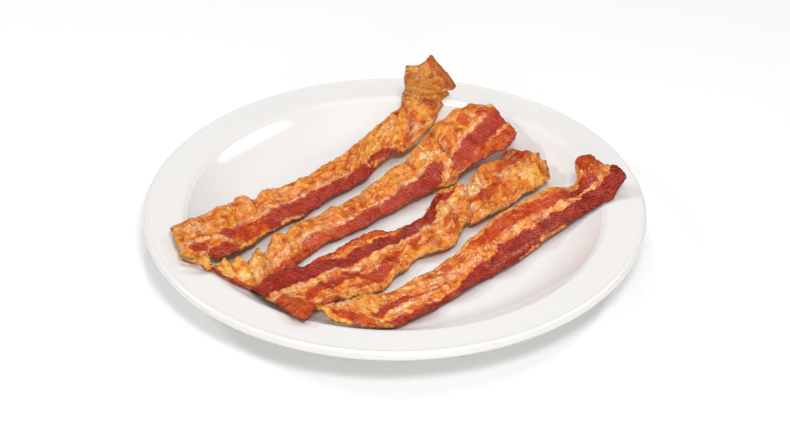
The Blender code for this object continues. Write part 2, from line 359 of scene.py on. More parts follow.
stripShapes["strip_back"] = {
    "edges": [
        ((-100, -26, 24.5), (-83, -45, 21.6)), ((-82, 0, 17), (-66, -25, 14.5)),
        ((-66, 14, 14), (-50, -6, 12)), ((-45, 28, 14), (-35, 10, 11.5)),
        ((-24, 48, 15), (-20, 23, 11.5)), ((-10, 71, 18), (-8, 40, 12)), ((0, 81, 21), (3, 52, 13)),
        ((4, 87, 25), (19, 72, 18)), ((4, 86, 29), (24, 85, 24)), ((5, 83, 38), (29, 86, 33)),
        ((6, 80, 47), (21, 84, 48)),
    ],
    "ripples": {"far": 1.3, "near": 1.0, "middle": 1.0, "length": 26.0, "start": 0.10},
    # where the real outline runs, as shares of the width: rows (along, across)
    "farEdge": [(0, .05), (.05, -.01), (.1, .04), (.13, -.02), (.18, -.12), (.192, -.08), (.2, .12),
                (.215, .02), (.26, -.1), (.31, 0), (.375, -.15), (.42, -.06), (.5, .02), (.55, .05),
                (.6, .01), (.65, .04), (.7, -.03), (.76, -.02), (.82, .03), (.9, -.02), (1, -.05)],
    "nearEdge": [(0, 1.06), (.05, 1.12), (.1, 1.04), (.15, 1), (.19, .96), (.25, 1.05), (.3, .95),
                 (.38, .87), (.41, .88), (.45, .98), (.5, .88), (.56, .84), (.62, .98), (.69, 1),
                 (.75, .95), (.782, 1.03), (.8, .95), (.835, 1.03), (.85, .93), (.887, 1.03),
                 (.925, .99), (1, .9)],
    "leftEnd": [(0, -.006), (.1, -.01), (.43, -.034), (.73, -.058), (.88, -.036), (1, -.005)],
    "rightEnd": [(0, .997), (.35, .992), (.55, .997), (.68, 1.002), (.8, 1.011), (.88, 1.018),
                 (.93, 1.021), (.955, 1.017), (.975, 1.006), (1, .968)],
    "lean": [
        [(.015, .9, 1.1, .4), (.035, .84, 1.1, .72), (.055, .9, 1.12, .66), (.08, .96, 1.1, .4)],
        [(.09, .62, 1, .3), (.11, .56, .96, .6), (.14, .64, .95, .4), (.18, .6, .95, .66),
         (.2, .55, .88, .9), (.24, .5, .96, 1), (.27, .52, 1.15, 1), (.31, .58, 1.15, .95),
         (.36, .54, 1.15, 1), (.4, .5, 1.1, 1), (.44, .64, 1.15, .9), (.475, .8, 1.15, .75),
         (.5, .94, 1.1, .6)],
        [(.455, .58, .64, .5), (.47, .56, .72, .9), (.52, .62, .8, .95), (.57, .75, .92, .9),
         (.62, .96, 1, .6)],
        [(.58, .03, .1, .3), (.61, .04, .2, .55), (.645, .06, .15, .3)],
        [(.755, .5, .66, .2), (.775, .44, .78, .5), (.79, .4, .6, .35), (.81, .5, .55, .1)],
        [(.84, .85, 1.1, .1), (.9, .76, 1.1, .2), (1, .62, 1.1, .25)],
    ],
    "spots": [   # along, across, reach along (mm), reach across (mm), how lean
        (.004, .76, 6.4, 4.2, .6), (.078, .7, 6, 4.2, .62), (.12, .6, 3.4, 3, .45),
        (.035, .34, 3.4, 3.4, .22), (.15, .3, 4, 3, .2), (.27, .2, 4, 3, .2), (.55, .3, 5, 3, .18),
        (.77, .62, 1.6, 6, .4),
    ],
    "cream": [
        [(0, .56, .66, .6), (.02, .5, .6, .9), (.045, .56, .7, .9), (.055, .72, .84, .8),
         (.065, .8, .92, .6)],
        [(0, .16, .26, .5), (.02, .14, .34, .7), (.045, .2, .5, .6), (.06, .4, .6, .5)],
        [(.1, .5, .58, .7), (.13, .5, .6, .6), (.2, .46, .56, .7), (.3, .44, .54, .55),
         (.42, .42, .54, .5)],
        [(.18, .1, .3, .5), (.185, .35, .6, .8), (.2, .56, .66, .5)],
        [(.64, .5, .7, .6), (.66, .66, .86, .7), (.68, .9, .95, .5)],
        # the last row also lightens the raised end where the lamps leave it dark: partly its pale colour,
        # partly painted light
        [(.77, .1, .5, .4), (.84, .05, .6, .45), (.94, .1, .5, .4), (1, .1, .4, .3)],
    ],
    "gold": [
        [(0, 0, .12, .6), (.01, 0, .2, .3), (.03, .1, .2, .1)],
        [(.42, .1, .5, .3), (.52, .1, .5, .45), (.62, .1, .6, .5), (.66, .1, .5, .4)],
        [(.69, .1, .7, .6), (.73, .1, .7, .8), (.76, .1, .6, .4)],
        # the last row also lightens the raised end where the lamps leave it dark: partly its golden colour,
        # partly painted light
        [(.77, 0, .8, .8), (.82, 0, .8, .9), (.9, 0, .7, .8), (1, 0, .5, .6)],
    ],
    "humps": [   # along, across, reach along (mm), reach across (mm), height (mm)
        (.192, .1, 1.6, 9, -2.4), (.165, .1, 5, 7, 1.3), (.225, .12, 5, 7, 1.5), (.1, .35, 9, 8, 1),
        (.045, .5, 2.5, 9, -1), (0, .76, 5, 3.5, 1.4), (.078, .72, 4.2, 3.4, 1.2), (.3, .25, 8, 6, .9),
        (.42, .3, 9, 8, -1.2), (.5, .35, 8, 7, 1.3), (.65, .5, 3, 16, -2), (.71, .4, 7, 9, 1.8),
        (.78, .55, 2.4, 12, -1.6), (.87, .4, 8, 9, 1.2),
    ],
    "fatShift": 0.0, "frill": 0.4, "fibreTurn": 40, "leanDark": -0.03,
}

stripShapes["strip_mid_back"] = {
    "edges": [
        ((-92, -52, 26), (-89, -55, 25)), ((-82, -49, 25.5), (-78, -55, 19)),
        ((-70, -47, 21), (-60, -57, 11)), ((-61, -33, 17), (-50, -46, 10.5)),
        ((-52, -19, 16), (-40, -30, 10.5)), ((-43, -9, 15), (-29, -17, 10.5)),
        ((-21, 8, 15), (-9, -2, 11)), ((-5, 28, 17), (14, 18, 12)), ((8, 43, 20), (22, 26, 13)),
        ((14, 54, 22), (33, 35, 16)), ((29, 79, 24), (48, 46, 21)), ((46, 82, 26), (58, 56, 25)),
    ],
    "ripples": {"far": 1.9, "near": 0.9, "middle": 1.2, "length": 19.0, "start": 0.45},
    "farEdge": [(0, .2), (.01, .42), (.035, .36), (.065, .18), (.087, .04), (.094, .48), (.1, .52),
                (.118, .28), (.15, -.04), (.156, .4), (.162, .3), (.172, .02), (.195, -.07), (.202, .1),
                (.21, .16), (.225, .13), (.25, .04), (.281, -.06), (.287, .12), (.298, .15), (.31, .08),
                (.34, -.04), (.367, -.05), (.386, .08), (.4, .04), (.43, 0), (.475, -.08), (.5, -.03),
                (.53, -.14), (.575, -.02), (.6, -.1), (.625, .04), (.65, -.05), (.7, 0), (.83, 0),
                (.875, 0), (.925, .08), (.95, .03), (1, .02)],
    "nearEdge": [(0, .5), (.015, .82), (.06, 1), (.1, 1.1), (.14, 1.18), (.17, 1.16), (.2, 1.06),
                 (.25, .99), (.4, 1), (.5, 1.03), (.57, .94), (.62, .95), (.7, 1), (.748, 1.09),
                 (.77, 1.12), (.8, 1.02), (.85, .99), (.873, 1.05), (.9, 1.03), (.925, 1.12),
                 (.965, 1.14), (1, 1.04)],
    "leftEnd": [(0, -.003), (1, 0)],
    "rightEnd": [(0, .98), (.1, 1), (.55, .995), (1, 1)],
    "lean": [
        [(0, .34, .6, .4), (.02, .72, .9, .6), (.06, .9, 1.05, .62), (.1, .97, 1.15, .7),
         (.15, .98, 1.2, .8), (.2, .86, 1.1, .75), (.24, .78, 1.1, .6), (.3, .72, 1.1, .5),
         (.36, .78, 1.1, .5), (.4, .62, 1.1, .54), (.46, .7, 1.1, .5), (.5, .66, 1.12, .58),
         (.56, .54, 1.12, .85), (.6, .55, 1.12, 1), (.68, .55, 1.1, 1), (.72, .5, .96, .95),
         (.76, .55, .8, .75), (.785, .6, .66, .4)],
        [(.79, .8, .95, .4), (.81, .72, 1, .56), (.84, .62, .92, .62), (.88, .56, .84, .9),
         (.93, .5, .8, 1), (.97, .42, .78, 1), (1, .38, .78, .9)],
        [(.83, .9, 1.2, .36), (.88, .86, 1.2, .42), (.93, .84, 1.2, .36), (1, .86, 1.2, .46)],
        [(.93, .3, .45, .2), (.96, .18, .5, .5), (1, .2, .5, .4)],
        [(.69, .1, .2, .3), (.7, 0, .4, .35), (.71, .2, .3, .2)],
    ],
    "cream": [
        [(.06, .2, .5, .5), (.16, .45, .7, .6), (.2, .4, .6, .8), (.24, .45, .62, .6), (.3, .5, .7, .6),
         (.38, .4, .56, .5), (.45, .48, .6, .8), (.52, .5, .62, .8), (.6, .46, .56, .6),
         (.66, .42, .54, .8), (.74, .45, .56, .5)],
        # pale patches here: partly creamy fat, partly a painted highlight
        [(.73, .22, .4, .7), (.78, .3, .48, .9), (.81, .34, .5, .7)],
        [(.84, .54, .6, .6), (.88, .49, .55, .8), (.93, .42, .48, .8), (.97, .34, .4, .5)],
        [(.76, .78, .98, .7), (.8, .62, .8, .7), (.83, .6, .7, .3)],
    ],
    "spots": [
        (.43, .7, 5, 3.5, .45), (.74, .2, 3, 4, .25), (.82, .8, 5, 5, .5), (.31, .4, 3, 3, .22),
        (.5, .35, 3, 3, .22), (.9, .3, 4, 5, .34), (.97, .3, 4, 5, .4),
    ],
    "gold": [
        [(0, -.2, 1.1, 1), (.1, -.1, .95, 1), (.17, -.1, .86, 1), (.21, -.1, .7, .8),
         (.28, -.1, .5, .55), (.4, -.1, .4, .45), (.5, .1, .3, .3)],
        [(.6, .1, .4, .4), (.66, 0, .4, .55), (.74, .1, .45, .6), (.8, .1, .3, .4)],
        [(.83, 0, .2, .3), (.9, 0, .3, .5), (.95, 0, .2, .3)],
    ],
    "humps": [
        (.066, .45, 3.6, 6, 1.6), (.097, .6, 1.7, 7, -2.2), (.135, .35, 3.2, 8, 2.2),
        (.158, .4, 1.5, 8, -2.8), (.185, .25, 2.8, 9, 2.4), (.212, .2, 2, 8, -2.4),
        (.258, .15, 4, 9, 2.4), (.291, .15, 2.2, 8, -2.4), (.345, .2, 5, 8, 1.8), (.42, .2, 3, 6, -1.2),
        (.47, .3, 4, 6, 1.1), (.55, .3, 3, 6, -.8), (.62, .3, 4, 6, 1.2), (.695, .3, 2, 9, -1.7),
        (.76, .35, 9, 9, 2), (.83, .4, 2.5, 14, -1.8), (.9, .3, 6, 8, 1),
    ],
    "fatShift": -0.04, "frill": 0.9, "fibreTurn": 72, "leanDark": -0.09,
}

stripShapes["strip_mid_front"] = {
    "edges": [
        ((-61, -59, 16), (-36, -89, 21.5)), ((-45, -39, 14), (-22, -63, 11)),
        ((-22, -23, 14), (-5, -55, 11)), ((0, -10, 14), (10, -31, 11.5)), ((16, 0, 15), (27, -22, 12)),
        ((19, 8, 20), (31, -7, 13)), ((33, 21, 18), (41, -2, 13)), ((42, 36, 16), (58, 16, 12)),
        ((52, 53, 14.5), (71, 27, 14)), ((60, 62, 17), (73, 30, 20)),
    ],
    "ripples": {"far": 1.2, "near": 1.4, "middle": 1.2, "length": 24.0, "start": 0.75},
    "farEdge": [(0, 0), (.1, .02), (.13, .14), (.18, .08), (.21, .02), (.3, -.05), (.33, .09),
                (.365, .1), (.395, .02), (.45, -.12), (.48, -.1), (.52, 0), (.55, 0), (.6, -.03),
                (.64, -.05), (.66, .07), (.7, 0), (.73, -.06), (.785, -.13), (.81, -.04), (.84, .06),
                (.9, 0), (.945, .06), (1, .1)],
    "nearEdge": [(0, 1.04), (.03, .92), (.05, .9), (.08, .98), (.14, .97), (.2, .99), (.26, .98),
                 (.3, 1.05), (.33, 1.01), (.375, 1.08), (.43, .97), (.48, .99), (.53, 1.06), (.6, 1.02),
                 (.75, 1), (.86, .97), (.93, 1), (1, .98)],
    "leftEnd": [(0, -.014), (.15, -.022), (.35, -.03), (.62, -.038), (.86, -.042), (1, -.03)],
    "rightEnd": [(0, .935), (.12, .95), (.28, .985), (.4, .99), (.55, 1.008), (.7, .998), (.84, 1.004),
                 (.93, .985), (1, .955)],
    "lean": [
        [(0, -.1, .36, .85), (.06, -.1, .38, 1), (.1, .06, .43, 1), (.14, .16, .44, 1),
         (.18, .24, .44, .95), (.22, .22, .4, .95), (.3, .2, .43, 1), (.36, .14, .42, 1),
         (.4, .04, .3, 1), (.45, -.1, .24, .95), (.49, -.1, .12, .9), (.53, .02, .2, .9),
         (.57, .08, .27, .9), (.6, .1, .22, .8), (.63, 0, .06, .6)],
        [(.02, .68, .8, .3), (.08, .58, .74, .55), (.14, .58, .74, .6), (.19, .48, .66, .6),
         (.22, .66, .8, .55), (.28, .62, .78, .6), (.32, .6, .68, .35), (.36, .6, .65, .1)],
        [(0, .5, 1.1, .46), (.02, .6, 1, .46), (.06, .86, 1, .45), (.12, .92, 1, .4)],
        [(.1, -.2, .08, .38), (.16, -.2, .2, .46), (.22, -.2, .14, .46), (.3, -.2, .14, .42),
         (.37, -.2, .1, .36)],
        [(.16, .78, .86, .3), (.22, .74, .88, .55), (.28, .76, .88, .5), (.31, .8, .84, .2)],
        [(.43, .45, .6, .25), (.48, .45, .62, .35), (.55, .56, .66, .25)],
        [(.64, .5, .6, .3), (.68, .44, .66, .48), (.73, .38, .62, .5), (.77, .36, .52, .42),
         (.8, .3, .36, .2)],
        [(.78, .16, .26, .3), (.84, .16, .34, .4), (.92, .16, .36, .42), (1, .14, .36, .5)],
    ],
    "spots": [
        (0, .8, 5, 4, .5), (.11, .68, 5, 2.6, .6), (.7, .5, 5, 4.5, .52), (.35, .6, 4, 3, .4),
        (.53, .8, 5, 2.4, .36), (.6, .8, 4, 2, .3), (.88, .28, 5, 3, .42), (.96, .2, 4, 3, .45),
    ],
    "gold": [
        [(.24, .44, .52, .3), (.4, .36, .5, .35), (.55, .34, .56, .5), (.62, .3, .5, .4)],
        [(.8, .5, .8, .5), (.86, .56, .95, .95), (.93, .55, .9, .85), (1, .5, .8, .6)],
    ],
    "cream": [
        [(0, .4, .5, .7), (.08, .44, .52, .8), (.15, .44, .5, .7), (.25, .44, .52, .6),
         (.36, .44, .54, .5)],
        [(.38, .28, .4, .7), (.42, .24, .36, .6), (.5, .26, .42, .7), (.56, .34, .5, .6),
         (.6, .36, .44, .4)],
        # a whitish patch here is a painted highlight
        [(.62, .1, .3, .6), (.66, .14, .44, 1), (.7, .1, .36, 1), (.73, .15, .25, .5)],
        [(.63, .5, .8, .6), (.65, .62, .78, .7), (.67, .7, .8, .4)],
        [(.79, .3, .5, .8), (.81, .36, .5, .8), (.86, .56, .8, .6), (.9, .46, .7, .5),
         (.93, .4, .5, .3)],
    ],
    "humps": [
        (.07, .65, 4, 7, .9), (.12, .1, 3, 6, -1), (.17, .45, 3.5, 7, 1), (.21, .6, 2.4, 8, -1),
        (.33, .75, 4, 7, .9), (.4, .5, 3, 12, -1.2), (.47, .55, 6, 8, 1.2), (.56, .6, 3, 9, -1.8),
        (.6, .35, 4, 7, .9), (.645, .5, 2.4, 10, -1.6), (.7, .4, 6, 7, 1.3), (.79, .35, 2.5, 9, -1.3),
        (.86, .6, 5, 8, 1.5), (.93, .8, 3, 6, -1.4),
    ],
    "fatShift": 0.0, "frill": 0.5, "fibreTurn": 42, "leanDark": 0.05,
}

stripShapes["strip_front"] = {
    "edges": [
        ((-32, -81, 21), (-25, -90, 20)), ((-19, -69, 16), (-4, -86, 13)),
        ((-5, -60, 13.5), (13, -71, 11)), ((15, -44, 14), (33, -53, 11)), ((29, -28, 15), (49, -39, 11)),
        ((45, -8, 17), (65, -20, 11)), ((69, 12, 20), (84, -2, 14)), ((82, 13, 23), (96, 1, 21)),
        ((84, 20, 31), (105, 7, 28)), ((90, 18, 35), (103, 11, 33)),
    ],
    "ripples": {"far": 1.0, "near": 1.2, "middle": 0.9, "length": 29.0, "start": 0.30},
    "farEdge": [(0, 0), (.12, 0), (.2, 0), (.25, .09), (.3, .09), (.34, .01), (.39, .03), (.42, .07),
                (.47, .01), (.6, 0), (.66, .02), (.74, .08), (.8, .04), (.85, -.03), (1, -.03)],
    "nearEdge": [(0, .9), (.04, 1), (.08, 1.12), (.12, 1.1), (.175, 1.02), (.235, 1.1), (.265, 1.02),
                 (.3, 1.04), (.4, .97), (.47, 1.02), (.55, 1.02), (.6, 1), (.7, 1.04), (.775, 1.1),
                 (.85, 1), (.96, 1.05), (1, 1)],
    "leftEnd": [(0, -.012), (.12, -.014), (.3, -.004), (1, 0)],
    "rightEnd": [(0, 1), (.12, .995), (.35, .965), (.5, .952), (.62, .966), (.76, .988), (.87, .998),
                 (.94, .988), (1, .96)],
    "lean": [
        [(.012, .2, .5, .4), (.035, .36, .8, .46), (.055, .5, 1.02, .48), (.075, .62, 1.12, .46),
         (.09, .8, 1.1, .3)],
        [(.09, .62, .8, .2), (.13, .5, .7, .5), (.18, .38, .6, .6), (.23, .4, .58, .55),
         (.27, .55, .68, .45), (.31, .6, .7, .3)],
        [(.12, .8, 1.1, .45), (.17, .84, 1.1, .75), (.2, .92, 1.2, .8), (.26, .93, 1.1, .7),
         (.31, .9, 1.1, .7), (.34, .76, 1.1, .85), (.38, .64, 1.1, .95), (.44, .66, 1.1, 1),
         (.5, .54, 1, 1), (.55, .58, .96, 1), (.58, .66, .92, .8), (.62, .6, .96, 1),
         (.65, .68, 1.1, .8), (.7, .62, 1.15, .95), (.76, .56, 1.15, .95), (.82, .64, 1.15, .85),
         (.9, .68, 1.15, .75), (1, .66, 1.15, .75)],
        [(.42, .1, .2, .2), (.47, .1, .34, .42), (.55, .08, .36, .5), (.6, .1, .4, .45),
         (.66, .2, .5, .5), (.72, .3, .52, .62), (.78, .2, .5, .7), (.83, .2, .5, .5),
         (.88, -.1, .5, .36), (1, -.2, .5, .38)],
    ],
    "spots": [
        (.05, .7, 3, 5, .5), (.3, .3, 5, 3, .3), (.36, .25, 4, 3, .34), (.5, .22, 5, 3, .42),
        (.64, .35, 5, 3, .5), (.72, .42, 5, 3, .55), (.8, .35, 5, 3, .6),
    ],
    "gold": [
        [(0, .1, 1.1, 1), (.012, .5, 1.2, 1), (.035, .86, 1.2, 1), (.06, 1.02, 1.3, .8),
         (.08, 1.1, 1.3, .4)],
        [(.08, 0, .7, .5), (.11, .1, .85, .8), (.15, .1, .8, .6), (.19, .1, .5, .3)],
    ],
    "cream": [
        [(.03, .02, .2, .7), (.06, 0, .3, .9), (.09, 0, .3, .8), (.12, .1, .3, .5)],
        [(.16, .66, .78, .8), (.2, .6, .76, 1), (.23, .7, .82, .6), (.3, .5, .6, .4)],
        [(.26, .36, .46, .4), (.36, .4, .54, .7), (.45, .44, .52, .5), (.55, .4, .5, .5),
         (.62, .48, .58, .6), (.7, .52, .6, .6), (.78, .48, .53, .7), (.86, .52, .58, .6),
         (.93, .58, .64, .4)],
        [(.42, .84, .88, .2), (.5, .84, .88, .35), (.56, .86, .9, .35), (.62, .86, .9, .2)],
    ],
    "humps": [
        (.1, .3, 5, 7, 1.2), (.21, .7, 4, 5, 1), (.33, .2, 2.6, 7, -1.3), (.28, .2, 5, 6, 1),
        (.4, .15, 2, 6, -1.1), (.45, .2, 4, 6, .9), (.53, .5, 7, 8, .9), (.6, .7, 3, 7, -1.2),
        (.66, .6, 3, 8, 1), (.71, .25, 4, 7, -1.3), (.78, .35, 4, 8, 1.4), (.85, .4, 3, 12, -1.2),
        (.93, .4, 5, 8, .8),
    ],
    "fatShift": -0.02, "frill": 0.4, "fibreTurn": 42, "leanDark": 0.03,
}

# what every strip has in common (mm, and shares from 0 to 1)
stripLooks = {
    "cellsAlong": 630, "cellsAcross": 72, "finerEdges": 0.38, "finerEnds": 0.012,
    "thickness": 2.2, "unevenness": 0.12, "plateGap": 0.18,
    "edgeRound": 0.7, "edgeThin": 0.4, "thinReach": 3.6,
    "roughEdge": 0.45, "ragEnds": 0.7, "endPull": 9,
    "bandSide": 0.04, "goldSide": 0.12, "goldRim": 0.75, "rimReach": 1.3,
    "frillLength": 7.5, "frillReach": 5.5, "swell": 0.5, "humpShare": 0.8, "pucker": 0.3,
    "crest": 0.6, "crestSize": 6.4, "smallCrest": 0.14, "smallCrestSize": 2.4,
    "blister": 0.42, "blisterSize": 4.6, "bubble": 0.34, "bubbleSize": 1.35,
    "fibre": 0.3, "fibreSpacing": 1.4, "grain": 0.04,
    "leanSink": 0.3, "leanSinkUnder": 0.35, "creamRise": 0.25, "underRelief": 0.25,
    # the crease share darkens the creases between humps: painted shade
    "crispEdge": 1.05, "crispReach": 0.75, "creaseShade": 0.35,
}
waveParts = ((0.7, 1.0, 0.0), (0.3, 1.7, 1.3))      # height, pace, start
nearPace, nearStart = 1.13, 0.37
middlePace, middleStart = 0.8, 0.61


# the far edge's and the near edge's place at each share along
def edgeLines(edges, share):
    return [through([row[side] for row in edges], share) for side in (0, 1)]


def middleLine(edges, share):
    far, near = edgeLines(edges, share)
    return (far + near) / 2


# an uneven wave: a main sine and a smaller, quicker one
def wave(turns):
    return sum(height * np.sin(math.tau * pace * turns + start) for height, pace, start in waveParts)


# length (mm) gone along the middle line at each share
def lengthGone(edges, along):
    shares = np.linspace(0.0, 1.0, 200)
    steps = np.linalg.norm(np.diff(middleLine(edges, shares), axis=0), axis=1)
    return np.interp(along, shares, np.concatenate([[0.0], np.cumsum(steps)]))


def lengthAt(edges, share):
    return float(lengthGone(edges, np.array([share]))[0])


# the frame's own surface: a straight line from far edge to near edge at each share along,
# plus ripples that die away from each edge and one that swells in the middle
def baseSurface(shape, along, across):
    edges, ripples = shape["edges"], shape["ripples"]
    far, near = edgeLines(edges, along)
    step = 1e-3
    face = unit(np.cross(near - far, middleLine(edges, along + step) - middleLine(edges, along - step)))
    turns = lengthGone(edges, along) / ripples["length"] + ripples["start"]
    inside = np.clip(across, 0, 1)
    relief = (ripples["far"] * (1 - inside) ** 2 * wave(turns)
              + ripples["near"] * inside ** 2 * wave(turns * nearPace + nearStart)
              + ripples["middle"] * np.sin(math.pi * inside) * wave(turns * middlePace + middleStart))
    return far + (near - far) * across[..., None] + face * relief[..., None], face


# raises whatever would touch the plate to rest just above it
def liftOffPlate(places, room):
    radius = np.hypot(places[..., 0], places[..., 1])
    slope = plateTop(radius + 0.5) - plateTop(radius - 0.5)
    lowest = plateTop(radius + 0.4) + room * np.sqrt(1 + slope ** 2)
    lifted = places.copy()
    lifted[..., 2] = np.maximum(places[..., 2], lowest)
    return lifted


# how strongly each place lies in bands: a band's rows are (along, its far side, its near side,
# strength); inside it is the strength, with a soft side, and the strongest band counts
def bandStrength(bands, along, across, soft):
    total = np.zeros(along.shape)
    for band in bands:
        rows = np.asarray(band, float)
        farSide, nearSide, strength = (easedRows(rows[:, (0, k)], along) for k in (1, 2, 3))
        within = np.minimum(across - farSide, nearSide - across)
        first = rows[0, 0] if rows[0, 0] > 0 else -1        # a band from 0 or to 1 runs off the strip
        last = rows[-1, 0] if rows[-1, 0] < 1 else 2
        ends = np.minimum(along - first, last - along)
        inside = smoothStep(-soft, soft, within) * smoothStep(-0.012, 0.006, ends)
        total = np.maximum(total, inside * strength)
    return total


# the corners of a strip's cells: shares along and across inside its ragged outline, lengths
# from the left end and from the far edge (mm), the distance in from the outline, and the places
def stripGrid(shape, seed):
    looks, edges = stripLooks, shape["edges"]
    a, v = np.meshgrid(np.linspace(0, 1, looks["cellsAlong"] + 1),
                       np.linspace(0, 1, looks["cellsAcross"] + 1), indexing="ij")
    v = np.clip(v - looks["finerEdges"] * np.sin(math.tau * v) / math.tau, 0, 1)
    a = np.clip(a - looks["finerEnds"] * np.sin(math.tau * a), 0, 1)
    total = lengthAt(edges, 1.0)

    # the ends move in or out by their rows, and that fades fast towards the middle
    ragLeft = layeredNoise(v * 8, v * 0 + 3.3, seed + 1) * looks["ragEnds"] / total
    ragRight = layeredNoise(v * 8, v * 0 + 7.7, seed + 2) * looks["ragEnds"] / total
    reached = (a + (easedRows(shape["leftEnd"], v) + ragLeft) * (1 - a) ** looks["endPull"]
               + (easedRows(shape["rightEnd"], v) - 1 + ragRight) * a ** looks["endPull"])
    along = np.clip(reached, 0, 1)
    past = (reached - along) * total
    gone = lengthGone(edges, along) + past
    far, near = edgeLines(edges, along)
    width = np.linalg.norm(near - far, axis=-1)
    rough = looks["roughEdge"] / width
    farEdge = easedRows(shape["farEdge"], along) + rough * layeredNoise(gone / 2.6, gone * 0, seed + 3)
    nearEdge = easedRows(shape["nearEdge"], along) + rough * layeredNoise(gone / 2.0, gone * 0, seed + 4)
    across = farEdge + v * (nearEdge - farEdge)

    # beyond the frame's ends the strip runs straight on
    places, face = baseSurface(shape, along, across)
    onward = unit(middleLine(edges, along + 0.01) - middleLine(edges, along - 0.01))
    places = places + onward * past[..., None]
    inFar = v * (nearEdge - farEdge) * width
    inNear = (1 - v) * (nearEdge - farEdge) * width
    inside = np.minimum(np.minimum(inFar, inNear), np.minimum(a, 1 - a) * total)
    return SimpleNamespace(
        along=along, across=across, gone=gone, acrossMm=across * width, width=width, total=total,
        inFar=inFar, inNear=inNear, inside=inside, places=places, face=face)


# what is where, from 0 to 1: lean, creamy streaks, golden fat, and the thin rim of the fat.
# Bands and spots are read at places shifted a little by noise, so their sides wander
def stripParts(shape, grid, seed):
    looks, gone, acrossMm = stripLooks, grid.gone, grid.acrossMm
    shiftX = 1.6 * layeredNoise(gone / 6, acrossMm / 5, seed + 5)
    across = grid.across + (1.4 * layeredNoise(gone / 5, acrossMm / 4, seed + 6)
                            + 0.3 * layeredNoise(gone / 1.5, acrossMm / 2.2, seed + 7)) / grid.width
    along = np.clip(grid.along + shiftX / grid.total, 0, 1)
    lean = bandStrength(shape["lean"], along, across, looks["bandSide"])
    for spotAlong, spotAcross, reachAlong, reachAcross, strength in shape["spots"]:
        spotX = (gone + 0.6 * shiftX - lengthAt(shape["edges"], spotAlong)) / reachAlong
        spotY = (across - spotAcross) * grid.width / reachAcross
        lean = np.maximum(lean, strength * smoothStep(1.25, 0.6, np.hypot(spotX, spotY)))
    cream = bandStrength(shape["cream"], along, across, looks["bandSide"])
    cream = cream * smoothStep(-0.6, 0.5, layeredNoise(gone / 3, acrossMm / 2, seed + 8))
    gold = bandStrength(shape["gold"], along, across, looks["goldSide"])
    rim = np.exp(-np.maximum(grid.inside, 0) / looks["rimReach"]) * (1 - smoothStep(0.2, 0.6, lean))
    return SimpleNamespace(lean=lean * (1 - 0.7 * cream), cream=cream, rim=rim,
                           gold=np.maximum(gold, looks["goldRim"] * rim))


# how far each corner is raised along its face (mm): a frill that dies away exponentially from
# each edge, the strip's own humps and creases as bell curves, a slow swell and a net of crests
def stripFolds(shape, grid, lean, seed):
    looks, gone, acrossMm = stripLooks, grid.gone, grid.acrossMm
    pace = gone / looks["frillLength"]
    farFrill = np.exp(-np.maximum(grid.inFar, 0) / looks["frillReach"])
    nearFrill = np.exp(-np.maximum(grid.inNear, 0) / looks["frillReach"])
    frill = shape["frill"] * (farFrill * slopeNoise(pace * 1.6, acrossMm / 14, seed + 9)
                              + 0.7 * nearFrill * slopeNoise(pace * 1.3, acrossMm / 14, seed + 10))
    humps = np.zeros(gone.shape)
    for humpAlong, humpAcross, reachAlong, reachAcross, height in shape["humps"]:
        awayAcross = acrossMm - humpAcross * grid.width
        awayAlong = gone - lengthAt(shape["edges"], humpAlong) + awayAcross * 0.25
        bell = np.exp(-(awayAlong / reachAlong) ** 2 - (awayAcross / reachAcross) ** 2)
        humps += looks["humpShare"] * height * bell
    shift = 0.35 * layeredNoise(gone / 6, acrossMm / 6, seed + 25)
    size = looks["crestSize"]
    crest = crestNet(gone / size + shift, acrossMm / size * 0.8 - shift, seed + 24)
    fatHere = 1 - smoothStep(0.3, 0.8, lean)
    swell = (looks["swell"] * layeredNoise(gone / 9, acrossMm / 8, seed + 11)
             + looks["crest"] * (crest - 0.35) * (0.35 + 0.65 * fatHere))
    pucker = looks["pucker"] * smoothStep(0.25, 0.9, lean) * slopeNoise(gone / 2.6, acrossMm / 7, seed + 12)
    return SimpleNamespace(raised=frill + humps + swell + pucker, humps=humps, crest=crest, shift=shift)


# the upper face's fine relief (mm): blisters, bubbles and small crests on the fat; on the lean,
# which lies lower, fibres as a triangle wave 1 - 4|x - nearest whole x|, broken up by noise
def stripRelief(shape, grid, parts, folds, seed):
    looks, gone, acrossMm, lean = stripLooks, grid.gone, grid.acrossMm, parts.lean
    fat = 1 - smoothStep(0.15, 0.6, lean)
    size = looks["blisterSize"]
    big = blisters(gone / size, acrossMm / size * 1.15, seed + 13)
    bigPatch = smoothStep(-0.25, 0.5, layeredNoise(gone / 11, acrossMm / 9, seed + 14))
    size = looks["bubbleSize"]
    bubble = blisters(gone / size, acrossMm / size, seed + 15)
    frothNoise = layeredNoise(gone / 5, acrossMm / 4, seed + 16) + 0.8 * (folds.crest - 0.4)
    bubblePatch = smoothStep(0.1, 0.6, frothNoise)
    size = looks["smallCrestSize"]
    smallCrest = crestNet(gone / size - folds.shift, acrossMm / size, seed + 26)
    turn = math.radians(shape["fibreTurn"])
    fibreAt = (acrossMm * math.cos(turn) - gone * math.sin(turn)
               + 1.0 * layeredNoise(gone / 6, acrossMm / 4, seed + 17)) / looks["fibreSpacing"]
    fibre = 1 - 4 * np.abs(fibreAt - np.floor(fibreAt + 0.5))
    fibre = fibre * smoothStep(-0.8, 0.2, layeredNoise(gone / 2.2, acrossMm / 2.2, seed + 18))
    grain = looks["grain"] * layeredNoise(gone / 0.9, acrossMm / 0.9, seed + 19)
    height = (fat * (looks["blister"] * big * bigPatch + looks["bubble"] * bubble * bubblePatch
                     + looks["smallCrest"] * (smallCrest - 0.35))
              + smoothStep(0.3, 0.9, lean) * (looks["fibre"] * fibre - looks["leanSink"])
              + looks["creamRise"] * parts.cream + grain)
    # the bubbles' crowns on the fat, where pale glints are painted into the colour
    frothAndGlint = bubblePatch * fat * smoothStep(0.1, 0.7, bubble)
    return SimpleNamespace(height=height, smallCrest=smallCrest, fibre=fibre, frothAndGlint=frothAndGlint)


